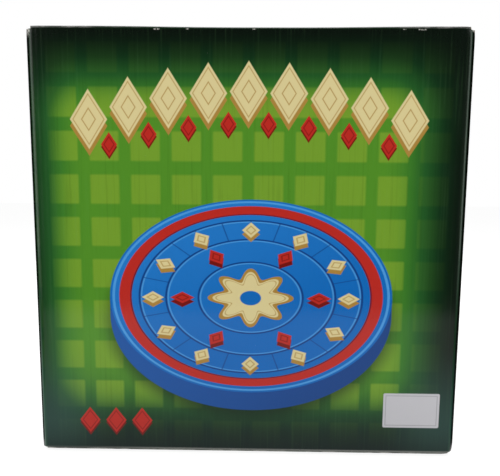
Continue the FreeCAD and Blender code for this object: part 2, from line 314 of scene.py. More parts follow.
# Arch of nine lozenges, with smaller ones between them
ARCH_STEP = 24.4
ARCH_END = 4.0
ARCH_SAG = 1.05
ARCH_TOP = 231.0
ARCH_TOKEN = (11.4, 18.0)
ARCH_TOKEN_DROP = 4.0
ARCH_INLAY = (4.2, 6.6)
BEAD_TOP = 212.0
BEAD = (5.0, 7.4)
BEAD_DROP = 1.6


def lozenge_arch(base, u, v):
    """Nine blank lozenges on a low arch, with small red ones between them."""
    number, across = nearest(u, ARCH_STEP, -ARCH_END, ARCH_END)
    rise = v + number * number * ARCH_SAG - ARCH_TOP
    base = lozenge_token(base, across, rise, ARCH_TOKEN, ARCH_TOKEN_DROP)
    base = over(base, TAN, line(lozenge(across, rise, *ARCH_INLAY), FINE_LINE) * 0.8)
    number, beside = nearest(u - ARCH_STEP / 2, ARCH_STEP, -ARCH_END, ARCH_END - 1)
    gap = number + 0.5
    beside_rise = v + gap * gap * ARCH_SAG - BEAD_TOP
    return lozenge_token(base, beside, beside_rise, BEAD, BEAD_DROP, RED, DEEP_RED)


# Round tray: its rings and tokens in shares of its reach, its line widths in millimetres
TRAY_SHADE_DROP = 0.06
TRAY_SHADE_REACH = 1.02
TRAY_SHADE_BLUR = 6.0
TRAY_RIM = 0.975
TRAY_RIM_LINE = 0.55
TRAY_BAND = 0.895
TRAY_BAND_HALF = 0.04
TRAY_BAND_LINE = 0.852
TRAY_RINGS = (0.79, 0.6, 0.37)
TRAY_RING_LINE = 0.45
TRAY_RING_LIGHT = 0.014
TRAY_FINE_LINE = 0.35
TRAY_SPOKES = 24
TRAY_SPOKE_HALF = 0.004
TRAY_TOKEN_DROP = 2.6
TRAY_TOKENS = (
    (12, 0.695, (0.078, 0.062), CREAM, TAN),
    (6, 0.485, (0.085, 0.06), RED, DEEP_RED),
)
ROSETTE_PETALS = 8.0
ROSETTE_REACH = 0.22
ROSETTE_WAVE = 0.05
ROSETTE_DROP = 0.035
ROSETTE_EYE = 0.075


def ring_tokens(u, v, count, middle, half_u, half_v):
    """Distance to lozenges that stand in a ring, in shares of the disc."""
    sector = cells(v.through("ARCTAN2", u), 2 * math.pi / count)
    radius = length(u, v)
    out = radius * sector.through("COSINE") - middle
    return lozenge(out, radius * sector.through("SINE"), half_u, half_v)


def round_tray(base, u, v, middle, reach, thickness):
    """A blue disc seen at a slant, with rings, a rosette and blank tokens."""
    across = u - middle[0]
    up = v - middle[1]
    x = across / reach[0]
    y = up / reach[1]
    lower = (up + thickness) / reach[1]
    size = reach[1]
    half_wall = thickness / reach[1] / 2
    band = (abs(x) - 1.0).most(abs(lower - half_wall) - half_wall)
    wall = cover(((length(x, lower) - 1.0) * size).least(band * size))
    shade = (length(x, lower + TRAY_SHADE_DROP) - TRAY_SHADE_REACH) * size
    base = over(base, TRAY_SHADE, cover(shade, TRAY_SHADE_BLUR) * 0.75)
    base = over(base, DEEP_BLUE, wall)
    base = over(base, WALL_BLUE, wall * smooth(across, reach[0], -reach[0]) * 0.8)

    radius = length(x, y)
    light = smooth(x * 0.5 - y * 0.8, 0.4, -0.9) * 0.55
    base = over(base, BLUE, cover((radius - 1.0) * size))
    base = over(base, BRIGHT_BLUE, cover((radius - 0.99) * size) * light)
    base = over(base, PALE_BLUE, line((radius - TRAY_RIM) * size, TRAY_RIM_LINE))
    base = over(base, RED, cover((abs(radius - TRAY_BAND) - TRAY_BAND_HALF) * size))
    base = over(base, DEEP_RED, line((radius - TRAY_BAND_LINE) * size, TRAY_FINE_LINE))
    for ring in TRAY_RINGS:
        inner = (radius - ring + TRAY_RING_LIGHT) * size
        base = over(base, DEEP_BLUE, line((radius - ring) * size, TRAY_RING_LINE))
        base = over(base, PALE_BLUE, line(inner, TRAY_FINE_LINE) * 0.8)

    turn = y.through("ARCTAN2", x)
    between_rings = abs(radius - (TRAY_RINGS[0] + TRAY_RINGS[1]) / 2) - (TRAY_RINGS[0] - TRAY_RINGS[1]) / 2
    spokes = abs(cells(turn, 2 * math.pi / TRAY_SPOKES)) * radius - TRAY_SPOKE_HALF
    base = over(base, DEEP_BLUE, cover(spokes * size) * cover(between_rings * size) * 0.8)
    drop = TRAY_TOKEN_DROP / reach[1]
    for count, place, half, face, edge in TRAY_TOKENS:
        token = ring_tokens(x, y, count, place, *half) * size
        under = ring_tokens(x, y + drop, count, place, *half) * size
        base = raised(base, token, under, face, edge)
    petals = radius - (turn * ROSETTE_PETALS).through("COSINE") * ROSETTE_WAVE - ROSETTE_REACH
    base = raised(base, petals * size, (petals - ROSETTE_DROP) * size, CREAM, TAN)
    return over(base, BLUE, cover((radius - ROSETTE_EYE) * size))


# Back and front panels, in millimetres across and up
BACK_FIELD = ((-147.0, -100.0), (134.0, 82.0), (0.0, 55.0), (268.0, 212.0))
BACK_TRAY = ((2.0, 104.0), (89.0, 62.0), 12.0)
FRONT_FIELD = ((-137.0, -92.0), (137.0, 92.0), (0.0, 58.0), (268.0, 212.0))
FRONT_TRAY = ((0.0, 96.0), (104.0, 72.0), 13.0)
REFLECTION_HAZE_FADES_UP = (78.0, 20.0)
REFLECTION_HAZE_FADES_DOWN = (-12.0, 24.0)
REFLECTION_HAZE_FADES_IN = (85.0, 122.0)
FOLD_HIGHLIGHT_INSET = 3.3
FOLD_HIGHLIGHT_HALF = 0.4
FOLD_HIGHLIGHT_BLUR = 1.0
FOLD_SHADE_FROM = (-2.9, -2.2)
LOW_FOLD_HIGHLIGHT_PLACE = -132.5
LOW_FOLD_HIGHLIGHT_BLUR = 0.6
LOW_FOLD_HIGHLIGHT_FADES = (120.0, 50.0)
FOOT_SCUFF_AND_HIGHLIGHT = (4.0, 3.2)
FOOT_SCUFF_AND_HIGHLIGHT_GROWS = (-120.0, -40.0)
PATCH_PLACE = (106.0, 31.0)
PATCH_SHAPE = (18.0, 11.5, 1.0)
PATCH_LINE_INSET = 1.6
PATCH_LINE_HALF = 0.25
FOOT_TOKEN = (6.6, 8.6)
FOOT_TOKEN_STEP = 17.0
FOOT_TOKEN_ENDS = (-6.0, -4.0)
FOOT_TOKEN_RISE = 22.0
FOOT_TOKEN_DROP = 1.8


def folded_sides(base, u):
    """Print with a painted greenish highlight along an upright fold and painted black shade round it."""
    edge = abs(u) - HALF_WIDTH
    # painted highlight: a faint greenish line just inside the fold
    base = over(base, FOLD_HIGHLIGHT_GREEN, line(edge + FOLD_HIGHLIGHT_INSET, FOLD_HIGHLIGHT_HALF, FOLD_HIGHLIGHT_BLUR) * 0.24)
    # painted shade: the print goes black where the fold turns away from the light
    return over(base, FOLD_SHADE_BLACK, smooth(edge, *FOLD_SHADE_FROM) * 0.85)


def back_art(u, v):
    base = field(u, v, *BACK_FIELD)
    # painted reflection: a pale haze low on the panel near both side folds
    painted_haze = smooth(v, *REFLECTION_HAZE_FADES_UP) * smooth(v, *REFLECTION_HAZE_FADES_DOWN) * smooth(abs(u), *REFLECTION_HAZE_FADES_IN)
    base = folded_sides(over(base, CORNER_REFLECTION_HAZE, painted_haze * 0.42), u)
    # painted highlight: a pale line on the left fold that fades out upwards
    painted_fold_highlight = line(u - LOW_FOLD_HIGHLIGHT_PLACE, FOLD_HIGHLIGHT_HALF, LOW_FOLD_HIGHLIGHT_BLUR)
    base = over(base, FOLD_HIGHLIGHT_PALE, painted_fold_highlight * smooth(v, *LOW_FOLD_HIGHLIGHT_FADES) * 0.5)
    # a pale line along the bottom edge, stronger to the right: rubbed ink and a painted highlight
    base = over(base, EDGE_SCUFF_AND_HIGHLIGHT, smooth(v, *FOOT_SCUFF_AND_HIGHLIGHT) * (smooth(u, *FOOT_SCUFF_AND_HIGHLIGHT_GROWS) * 0.6 + 0.2))
    base = round_tray(lozenge_arch(base, u, v), u, v, *BACK_TRAY)
    patch = rounded_box(u - PATCH_PLACE[0], v - PATCH_PLACE[1], *PATCH_SHAPE)
    base = over(base, PATCH, cover(patch))
    base = over(base, PATCH_LINE, line(patch + PATCH_LINE_INSET, PATCH_LINE_HALF) * 0.7)
    across = nearest(u, FOOT_TOKEN_STEP, *FOOT_TOKEN_ENDS)[1]
    return lozenge_token(base, across, v - FOOT_TOKEN_RISE, FOOT_TOKEN, FOOT_TOKEN_DROP, RED, DEEP_RED)


def front_art(u, v):
    return lozenge_arch(round_tray(field(u, v, *FRONT_FIELD), u, v, *FRONT_TRAY), u, v)


# Side panels, lids and flaps, in millimetres across and up
SIDE_FIELD = ((-27.0, -6.0), (27.0, 6.0), (4.0, 60.0), (264.0, 210.0))
SIDE_GLOW = 0.5
SIDE_STEP = 31.0
SIDE_END = 3.0
SIDE_TOKEN = (10.5, 13.0)
SIDE_TOKEN_DROP = 2.6
SIDE_INLAY = (4.0, 5.4)
LID_FIELD = ((-134.0, -96.0), (134.0, 96.0), (-26.0, -8.0), (26.0, 8.0))
LID_GLOW = 0.42
LID_TOKEN = (9.6, 11.0)
LID_TOKEN_DROP = 2.4
LID_INLAY = (3.6, 4.4)
LID_SCUFF = (0.8, 1.4)
TUCK_SCUFF = (0.5, 0.9)
SCUFF_ENDS = (78.0, 112.0)
SCUFF_BLUR = 0.5
SCUFF_SCALE = 420.0
SCUFF_STRETCH = (0.25, 1.0, 1.0)
MIDDLE_SCUFF = 0.3
LOW_MIDDLE_SCUFF_AND_HIGHLIGHT = 0.8
FLAP_GLOW = (150.0, 20.0)


def side_art(u, v):
    """A dark narrow panel with a column of blank lozenges."""
    base = field(u, v, *SIDE_FIELD, SIDE_GLOW, SMALL_PITCH, SMALL_SQUARE_HALF)
    rise = nearest(v - HEIGHT / 2, SIDE_STEP, -SIDE_END, SIDE_END)[1]
    base = lozenge_token(base, u, rise, SIDE_TOKEN, SIDE_TOKEN_DROP)
    return over(base, BLUE, cover(lozenge(u, rise, *SIDE_INLAY)))


def scuffed(base, u, distance, reach, least, pale):
    """Ink rubbed off along a crease, most at its two ends, with a share of least in the middle; on the
    bottom lid and tuck the rub is painted paler and wider as a painted highlight.
    """
    grain = base.tree.nodes.new("ShaderNodeTexCoord").outputs["Object"]
    rubbed = smooth(noise(base.tree, grain, SCUFF_SCALE, 4.0, SCUFF_STRETCH), 0.4, 0.62) * 0.75 + 0.25
    ends = smooth(abs(u), *SCUFF_ENDS) * (1.0 - least) + least
    return over(base, pale, cover(abs(distance) - reach, SCUFF_BLUR) * rubbed * ends)


def lid_art(u, v, least=MIDDLE_SCUFF, pale=CREASE_SCUFF):
    """A dark lid with a row of small blank lozenges."""
    base = field(u, v, *LID_FIELD, LID_GLOW, SMALL_PITCH, SMALL_SQUARE_HALF)
    across = nearest(u, ARCH_STEP, -ARCH_END, ARCH_END)[1]
    base = lozenge_token(base, across, v, LID_TOKEN, LID_TOKEN_DROP)
    base = over(base, RED, cover(lozenge(across, v, *LID_INLAY)))
    inset, reach = LID_SCUFF
    return scuffed(base, u, v - LID_EDGE - inset, reach, least, pale)


def flap_art(u, v):
    """Plain dark print, a little greener in the middle."""
    far, near = FLAP_GLOW
    glow = (smooth(u, -far, near) * smooth(u, far, -near)) * 0.2 + 0.06
    return ramp(glow, GROUND)


def tuck_art(u, v, least=MIDDLE_SCUFF, pale=CREASE_SCUFF):
    """Plain dark print, rubbed along the fold to the lid."""
    inset, reach = TUCK_SCUFF
    return scuffed(flap_art(u, v), u, abs(v - HEIGHT / 2) - HEIGHT / 2 + inset, reach, least, pale)


# bottom lid: its crease rub is painted paler and wider, rubbed ink and a painted highlight on a shadowed
# strip
def low_lid_art(u, v):
    return lid_art(u, v, LOW_MIDDLE_SCUFF_AND_HIGHLIGHT, LOW_CREASE_SCUFF_AND_HIGHLIGHT)


# bottom tuck: its crease rub is painted paler and wider, rubbed ink and a painted highlight on a shadowed
# strip
def low_tuck_art(u, v):
    return tuck_art(u, v, LOW_MIDDLE_SCUFF_AND_HIGHLIGHT, LOW_CREASE_SCUFF_AND_HIGHLIGHT)


# Materials: bump heights in metres, noise scales in waves per metre, other sizes in millimetres
PRINT_GLOSS = 0.19
PRINT_ROUGHNESS = 0.08
CREASE_ROUGHNESS = 0.2
CARD_ROUGHNESS = 0.85
BOARD_ROUGHNESS = 0.28
RACK_ROUGHNESS = 0.26
TILE_ROUGHNESS = 0.34
RUB_SCALE = 60.0
FLECK_SCALE = 1400.0
FLECK_PATCH_SCALE = 45.0
WORN_SCALE = 900.0
WORN_BLUR = 0.6
SWELL_SCALE = 22.0
SWELL_HEIGHT = 0.00012
RIB_HEIGHT = 0.000012
PAPER_SCALE = 1500.0
PAPER_HEIGHT = 0.000012
FIBRE_SCALE = 240.0
FIBRE_STRETCH = (1.0, 1.0, 5.0)
LINER_SCALE = 26.0
LINER_FLECK_SCALE = 900.0
FLUTE_SHADE_SCALE = 700.0
FLUTE_SWING = 0.42
FLUTE_PAPER_HALF = 0.14
FLUTE_BLUR = 0.1
LINER_INSET = 0.5
CREASE_SCALE = 40.0
CREASE_STRETCH = (0.25, 0.25, 1.0)
FLOW_SCALE = 14.0
FLOW_STRETCH = (1.0, 1.0, 0.35)
GRAIN_SCALE = 1800.0
GRAIN_HEIGHT = 0.00001
WAVE_SCALE = 60.0
WAVE_HEIGHT = 0.00006
HANDLED_SCALE = 35.0
TILE_FLECK_SCALE = 700.0
TILE_LINE_CORNER = 1.2
TILE_LINE_HALF = 0.28


def new_material(name):
    material = bpy.data.materials.new(name)
    material.use_nodes = True
    tree = material.node_tree
    shader = tree.nodes["Principled BSDF"]
    coordinates = tree.nodes.new("ShaderNodeTexCoord")
    return material, tree, shader, coordinates


def along(tree, socket, direction):
    """How far a vector reaches in a direction."""
    node = tree.nodes.new("ShaderNodeVectorMath")
    node.operation = "DOT_PRODUCT"
    tree.links.new(socket, node.inputs[0])
    node.inputs[1].default_value = direction
    return Value(tree, node.outputs["Value"])


def bump(tree, height, distance, under=None):
    node = tree.nodes.new("ShaderNodeBump")
    node.inputs["Distance"].default_value = distance
    tree.links.new(height.socket, node.inputs["Height"])
    if under:
        tree.links.new(under, node.inputs["Normal"])
    return node.outputs["Normal"]


def ribs(across):
    """A wave from -1 to 1 with the flutes' pitch."""
    return (across * (2 * math.pi / FLUTE_PITCH)).through("SINE")


def bare_card(tree, place):
    """Grey-brown liner with fibres and pale flecks."""
    fibres = noise(tree, place, FIBRE_SCALE, 4.0, FIBRE_STRETCH)
    patches = noise(tree, place, LINER_SCALE, 3.0)
    flecks = noise(tree, place, LINER_FLECK_SCALE, 1.0).above(0.72)
    return over(ramp(fibres * 0.6 + patches * 0.4, LINER), LINER_FLECK, flecks * 0.5)


def cut_edge(tree, place, across, depth):
    """Two liners with the fluted sheet between them."""
    from_middle = depth - CARD / 2
    flute = from_middle - ribs(across) * FLUTE_SWING
    liners = cover(abs(from_middle) * -1.0 + LINER_INSET, FLUTE_BLUR)
    paper = line(flute, FLUTE_PAPER_HALF, FLUTE_BLUR).most(liners)
    shade = noise(tree, place, FLUTE_SHADE_SCALE)
    return over(ramp(shade, FLUTE_SHADE), FLUTE_PAPER, paper)


def printed_card(name, across, up, outward, face, art, spots=()):
    """Laminated print outside, bare card inside, flutes at the cut edges.

    across, up and outward are the panel's directions, and face is how far out its print lies.
    spots are places on the top edge where the print is rubbed off: middle, half width and reach.
    """
    material, tree, shader, coordinates = new_material(name)
    shader.inputs["Specular IOR Level"].default_value = PRINT_GLOSS
    place = coordinates.outputs["Object"]
    u = along(tree, place, across) * MM
    v = along(tree, place, up) * MM
    depth = along(tree, place, outward) * -MM + face
    facing = along(tree, coordinates.outputs["Normal"], outward)
    printed = facing.above(0.5)
    cut = abs(facing).below(0.5)
    ink = art(u, v)
    rub = noise(tree, place, RUB_SCALE, 5.0)
    flecks = noise(tree, place, FLECK_SCALE).above(0.78) * noise(tree, place, FLECK_PATCH_SCALE).above(0.56)
    ink = over(ink, FLECK, flecks * 0.35)
    for middle, half, reach in spots:
        spot = cover(abs(u - middle) - half, WORN_BLUR) * smooth(v, PANEL_TOP - reach, PANEL_TOP)
        rubbed = smooth(noise(tree, place, WORN_SCALE, 3.0), 0.38, 0.52)
        ink = over(ink, WORN_PAPER, spot * rubbed * 0.8)
    card = over(bare_card(tree, place), ink, printed)
    tree.links.new(over(card, cut_edge(tree, place, u, depth), cut).socket, shader.inputs["Base Color"])
    roughness = printed * (rub * 0.08 + (PRINT_ROUGHNESS - CARD_ROUGHNESS)) + CARD_ROUGHNESS
    tree.links.new(roughness.socket, shader.inputs["Roughness"])
    swell = bump(tree, noise(tree, place, SWELL_SCALE), SWELL_HEIGHT)
    washboard = bump(tree, ribs(u) * 0.5 + 0.5, RIB_HEIGHT, swell)
    paper = bump(tree, noise(tree, place, PAPER_SCALE), PAPER_HEIGHT, washboard)
    tree.links.new(paper, shader.inputs["Normal"])
    return material


def crease_liner():
    """Bare card in a fold."""
    material, tree, shader, coordinates = new_material("crease_liner")
    place = coordinates.outputs["Object"]
    tree.links.new(bare_card(tree, place).socket, shader.inputs["Base Color"])
    shader.inputs["Roughness"].default_value = CARD_ROUGHNESS
    tree.links.new(bump(tree, noise(tree, place, PAPER_SCALE), PAPER_HEIGHT), shader.inputs["Normal"])
    return material


def crease_print():
    """Dark print in a fold, rubbed in places."""
    material, tree, shader, coordinates = new_material("crease_print")
    place = coordinates.outputs["Object"]
    base = ramp(noise(tree, place, CREASE_SCALE, 3.0) * 0.3, GROUND)
    rubbed = smooth(noise(tree, place, SCUFF_SCALE, 4.0, CREASE_STRETCH), 0.5, 0.62)
    tree.links.new(over(base, CREASE_SCUFF, rubbed * 0.4).socket, shader.inputs["Base Color"])
    shader.inputs["Specular IOR Level"].default_value = PRINT_GLOSS
    shader.inputs["Roughness"].default_value = CREASE_ROUGHNESS
    return material


def moulded(name, tones, roughness, inlay=None):
    """Injection-moulded plastic with faint flow marks, fine grain and rubbed patches.

    inlay draws a square on each tile: the tiles' pitch, a tile's height, the square's half width and colour.
    """
    material, tree, shader, coordinates = new_material(name)
    place = coordinates.outputs["Object"]
    flow = noise(tree, place, FLOW_SCALE, 3.0, FLOW_STRETCH)
    grain = noise(tree, place, GRAIN_SCALE)
    base = ramp(flow * 0.75 + grain * 0.25, tuple(zip(PLASTIC_STOPS, tones)))
    if inlay:
        pitch, rise, half, code = inlay
        column = cells(along(tree, place, RIGHT) * MM - pitch / 2, pitch)
        row = cells(along(tree, place, UP) * MM - rise, pitch)
        tile = rounded_box(column, row, half, half, TILE_LINE_CORNER)
        base = over(base, code, line(tile, TILE_LINE_HALF) * 0.75)
        base = over(base, code, noise(tree, place, TILE_FLECK_SCALE).above(0.7) * 0.12)
    tree.links.new(base.socket, shader.inputs["Base Color"])
    rubbed = noise(tree, place, HANDLED_SCALE, 4.0)
    tree.links.new((rubbed * 0.16 + roughness).socket, shader.inputs["Roughness"])
    soft = bump(tree, noise(tree, place, WAVE_SCALE), WAVE_HEIGHT)
    tree.links.new(bump(tree, grain, GRAIN_HEIGHT, soft), shader.inputs["Normal"])
    return material


def dress(names, material):
    for name in names:
        mesh = nodes[name].data
        mesh.materials.clear()
        mesh.materials.append(material)


# Rubbed spots on the back panel's top edge: middle, half width and reach in millimetres
WORN_TOP = (
    (-55.3, 1.6, 1.0), (-36.9, 0.7, 0.8), (3.0, 0.8, 0.8), (92.0, 0.7, 0.7), (102.5, 2.2, 1.0),
    (-132.9, 1.3, 6.0), (132.9, 0.9, 2.0),
)
LEAN_OUT = (0.0, -math.cos(TUCK_LEAN), -math.sin(TUCK_LEAN))
LEAN_OUT_LOW = (0.0, -math.cos(TUCK_LEAN), math.sin(TUCK_LEAN))
LEAN_FACE = -math.cos(TUCK_LEAN) * LID_EDGE
HIGH_LEAN_FACE = LEAN_FACE - math.sin(TUCK_LEAN) * HEIGHT
TILE_INLAY = (TILE_PITCH, BOARD_MIDDLE - TILE_PITCH / 2, TILE_SQUARE_HALF, TAN)

top_dust = printed_card("top_dust_print", REAR, RIGHT, UP, HEIGHT - LID_LAYER, flap_art)
bottom_dust = printed_card("bottom_dust_print", REAR, RIGHT, DOWN, -LID_LAYER, flap_art)
low_tuck = printed_card("bottom_tuck_print", RIGHT, UP, LEAN_OUT_LOW, LEAN_FACE, low_tuck_art)

# Card pieces that are taken over: the body each one rides and its material
CARTON = {
    "back_panel": ("carton", printed_card("back_print", RIGHT, UP, FRONT, HALF_DEPTH, back_art, WORN_TOP)),
    "front_panel": ("carton", printed_card("front_print", LEFT, UP, REAR, HALF_DEPTH, front_art)),
    "left_side_panel": ("carton", printed_card("left_print", FRONT, UP, LEFT, HALF_WIDTH, side_art)),
    "right_side_panel": ("carton", printed_card("right_print", REAR, UP, RIGHT, HALF_WIDTH, side_art)),
    "top_lid_panel": ("top_lid", printed_card("top_print", RIGHT, REAR, UP, HEIGHT, lid_art)),
    "top_tuck_flap": ("top_tuck", printed_card("tuck_print", RIGHT, UP, LEAN_OUT, HIGH_LEAN_FACE, tuck_art)),
    "top_left_dust_flap": ("top_left_dust", top_dust),
    "top_right_dust_flap": ("top_right_dust", top_dust),
    "bottom_lid_panel": ("bottom_lid", printed_card("bottom_print", RIGHT, FRONT, DOWN, 0.0, low_lid_art)),
    "bottom_tuck_flap": ("bottom_tuck", low_tuck),
    "bottom_left_dust_flap": ("bottom_left_dust", bottom_dust),
    "bottom_right_dust_flap": ("bottom_right_dust", bottom_dust),
}
dress(["glue_flap"], printed_card("glue_card", REAR, UP, LEFT, HALF_WIDTH - CARD, flap_art))
dress(["game_board"], moulded("board_plastic", BOARD_BLUES, BOARD_ROUGHNESS))
dress(RACKS, moulded("rack_plastic", RACK_REDS, RACK_ROUGHNESS))
dress(TILE_ROWS, moulded("tile_plastic", TILE_CREAMS, TILE_ROUGHNESS, TILE_INLAY))

# Softened moulded edges, in metres
WELD_DISTANCE = 1e-6
SOFT_EDGE = 0.0004
SOFT_EDGE_ANGLE = math.radians(40)
for name in ["game_board"] + RACKS + TILE_ROWS:
    weld = nodes[name].modifiers.new("weld", "WELD")
    weld.merge_threshold = WELD_DISTANCE
    soften = nodes[name].modifiers.new("soften", "BEVEL")
    soften.width = SOFT_EDGE
    soften.segments = 2
    soften.limit_method = "ANGLE"
    soften.angle_limit = SOFT_EDGE_ANGLE


# Worn carton: bumped corners, and the top fold pressed down between the dust flaps, in millimetres
BUMPED = (
    ((-1, -1, 1), 0.6), ((1, -1, 1), 1.1), ((-1, -1, -1), 0.6), ((1, -1, -1), 1.8),
    ((-1, 1, 1), 1.1), ((1, 1, 1), 0.8), ((-1, 1, -1), 1.5), ((1, 1, -1), 1.0),
)
BUMP_REACH = 9.0
BUMP_SHARE_IN_DEPTH = 0.5
NEAR_CORNER = (0.6, 1.5, 2.6, 3.8, 5.2, 6.8, 8.8)
PRESS_DEPTH = 0.85
PRESS_MIDDLE = 10.0
PRESS_REACH = 112.0
PRESS_SLOPE = 95.0
PRESS_FROM_BACK = (-19.7, 3.6)
PRESS_FROM_BELOW = (254.0, 12.0)
PRESS_LEVELS = [255.0 + i * 3.0 for i in range(5)]
SPAN_PLACES = [i * 8.0 for i in range(-15, 16)]
CUT_TOLERANCE = 1e-5
PANEL_SHARP_ANGLE = math.radians(35)
CREASE_SHARP_ANGLE = math.radians(50)


def clamp(share):
    return min(1.0, max(0.0, share))


def bumped(point):
    """Where wear at the carton's corners takes a point, in millimetres."""
    moved = point.copy()
    for (x, y, z), depth in BUMPED:
        corner = Vector((x * HALF_WIDTH, y * HALF_DEPTH, HEIGHT / 2 + z * HEIGHT / 2))
        near = max(0.0, 1.0 - (point - corner).length / BUMP_REACH)
        moved -= Vector((x, y * BUMP_SHARE_IN_DEPTH, z)).normalized() * depth * near * near
    return moved


def press(point):
    """How far the lid's tuck fold is pressed down at a point, in millimetres."""
    back, back_fade = PRESS_FROM_BACK
    foot, foot_fade = PRESS_FROM_BELOW
    share = clamp((PRESS_REACH - abs(point.x - PRESS_MIDDLE)) / PRESS_SLOPE)
    fade = clamp((back - point.y) / back_fade) * clamp((point.z - foot) / foot_fade)
    return PRESS_DEPTH * share * share * (3 - 2 * share) * fade


def worn(point, pressed):
    """Where a point of the new carton lies on the worn one, in metres."""
    point = point.copy()
    if pressed:
        point.z -= press(point)
    return bumped(point) / MM


def cut_places(half, middle):
    """Planes across a box that crowd towards its two ends."""
    return [middle + side * (half - near) for side in (-1, 1) for near in NEAR_CORNER]


def worn_copy(node, body, cuts, material, pressed):
    """Takes over a card piece with a copy that is cut at the places given and then worn."""
    mesh = bmesh.new()
    mesh.from_mesh(nodes[node].data)
    bmesh.ops.remove_doubles(mesh, verts=mesh.verts, dist=WELD_DISTANCE)
    for axis, places in cuts:
        for place in places:
            geometry = mesh.verts[:] + mesh.edges[:] + mesh.faces[:]
            middle = Vector(axis) * place / MM
            bmesh.ops.bisect_plane(
                mesh, geom=geometry, dist=CUT_TOLERANCE, plane_co=middle, plane_no=axis)
    for vert in mesh.verts:
        vert.co = worn(vert.co * MM, pressed)
    data = bpy.data.meshes.new("worn_" + node)
    mesh.to_mesh(data)
    mesh.free()
    data.shade_smooth()
    data.set_sharp_from_angle(angle=PANEL_SHARP_ANGLE)
    data.materials.append(material)
    piece = bpy.data.objects.new("worn_" + node, data)
    scene.collection.objects.link(piece)
    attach(piece, body)
    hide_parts(node)
    "printed_card" if body in ("carton", "top_lid", "bottom_lid") else "flap_card"


CORNER_CUTS = (
    (RIGHT, cut_places(HALF_WIDTH, 0.0)),
    (REAR, cut_places(HALF_DEPTH, 0.0)),
    (UP, cut_places(HEIGHT / 2, HEIGHT / 2)),
)
SPAN_CUTS = (
    (RIGHT, SPAN_PLACES),
    (UP, PRESS_LEVELS),
)
for node, (body, material) in CARTON.items():
    pressed = body in ("top_lid", "top_tuck")
    worn_copy(node, body, CORNER_CUTS + (SPAN_CUTS if pressed else ()), material, pressed)


# Creases: the card's skin inside each fold
SKIN_DEPTHS = (0.1, 0.45)
ARC_STEPS = 12
LONG_ENDS = (126.2, 128.2, 129.8)
LONG_STATIONS = [
    (x, 0.0, 0.0) for x in (*(-end for end in reversed(LONG_ENDS)), *SPAN_PLACES, *LONG_ENDS)
]
SHORT_STATIONS = [(0.0, y, 0.0) for y in (-19.5, -17.55, -8.0, 0.0, 8.0, 17.55, 19.55, 21.15)]


def strip_faces(size, count):
    """Faces of a closed strip: count rings of size points each, outer side first, with both ends capped."""
    faces = []
    for row in range(count - 1):
        for i in range(size):
            j = (i + 1) % size
            faces.append((row * size + i, row * size + j, (row + 1) * size + j, (row + 1) * size + i))
    for base in (0, (count - 1) * size):
        for i in range(ARC_STEPS):
            faces.append((base + i, base + i + 1, base + size - 2 - i, base + size - 1 - i))
    return faces


def crease(name, corner, first, second, stations, materials, pressed=False):
    """A strip of skin round a fold, from the first body's panel to the second body's.

    corner is a point on the fold's sharp line, first and second lead from it along the two panels,
    and stations are steps along the line, all in millimetres. materials are for the inner and outer side.
    """
    corner, first, second = Vector(corner), Vector(first), Vector(second)
    half = first.angle(second) / 2
    centre = corner + (first + second).normalized() * FOLD_RADIUS / math.sin(half)
    start = corner + first * FOLD_RADIUS / math.tan(half)
    finish = corner + second * FOLD_RADIUS / math.tan(half)
    steps = [i / ARC_STEPS for i in range(ARC_STEPS + 1)]
    rays = [(start - centre).slerp(finish - centre, step).normalized() for step in steps]
    outer, inner = ([centre + ray * (FOLD_RADIUS - depth) for ray in rays] for depth in SKIN_DEPTHS)
    ring = outer + inner[::-1]
    points = [worn(spot + Vector(station), pressed) for station in stations for spot in ring]
    data = bpy.data.meshes.new(name)
    data.from_pydata(points, [], strip_faces(len(ring), len(stations)))
    solid = bmesh.new()
    solid.from_mesh(data)
    bmesh.ops.recalc_face_normals(solid, faces=solid.faces[:])
    solid.to_mesh(data)
    solid.free()
    for material in materials:
        data.materials.append(material)
    for face in data.polygons:
        face.material_index = int(all(i % len(ring) <= ARC_STEPS for i in face.vertices))
    data.shade_smooth()
    data.set_sharp_from_angle(angle=CREASE_SHARP_ANGLE)
    piece = bpy.data.objects.new(name, data)
    scene.collection.objects.link(piece)
    start / MM
    finish / MM
    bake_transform(piece)


skin = (crease_liner(), crease_print())
lid_skin = skin[::-1]  # a lid turns past half a circle, where its crease shows the other side
for level, end, inward in (("top", HEIGHT, DOWN), ("bottom", 0.0, UP)):
    lid, tuck = level + "_lid", level + "_tuck"
    lean = (0.0, math.sin(TUCK_LEAN), math.cos(TUCK_LEAN) * inward[2])
    crease(lid + "_crease", (0.0, HALF_DEPTH, end), inward, FRONT, LONG_STATIONS, lid_skin)
    tuck_fold = (0.0, LID_EDGE, end)
    crease(tuck + "_crease", tuck_fold, REAR, lean, LONG_STATIONS, skin, level == "top")
    for side, way, back in (("left", -1, RIGHT), ("right", 1, LEFT)):
        dust = f"{level}_{side}_dust"
        fold = (way * HALF_WIDTH, 0.0, end + LID_LAYER * inward[2])
        crease(dust + "_crease", fold, inward, back, SHORT_STATIONS, skin)


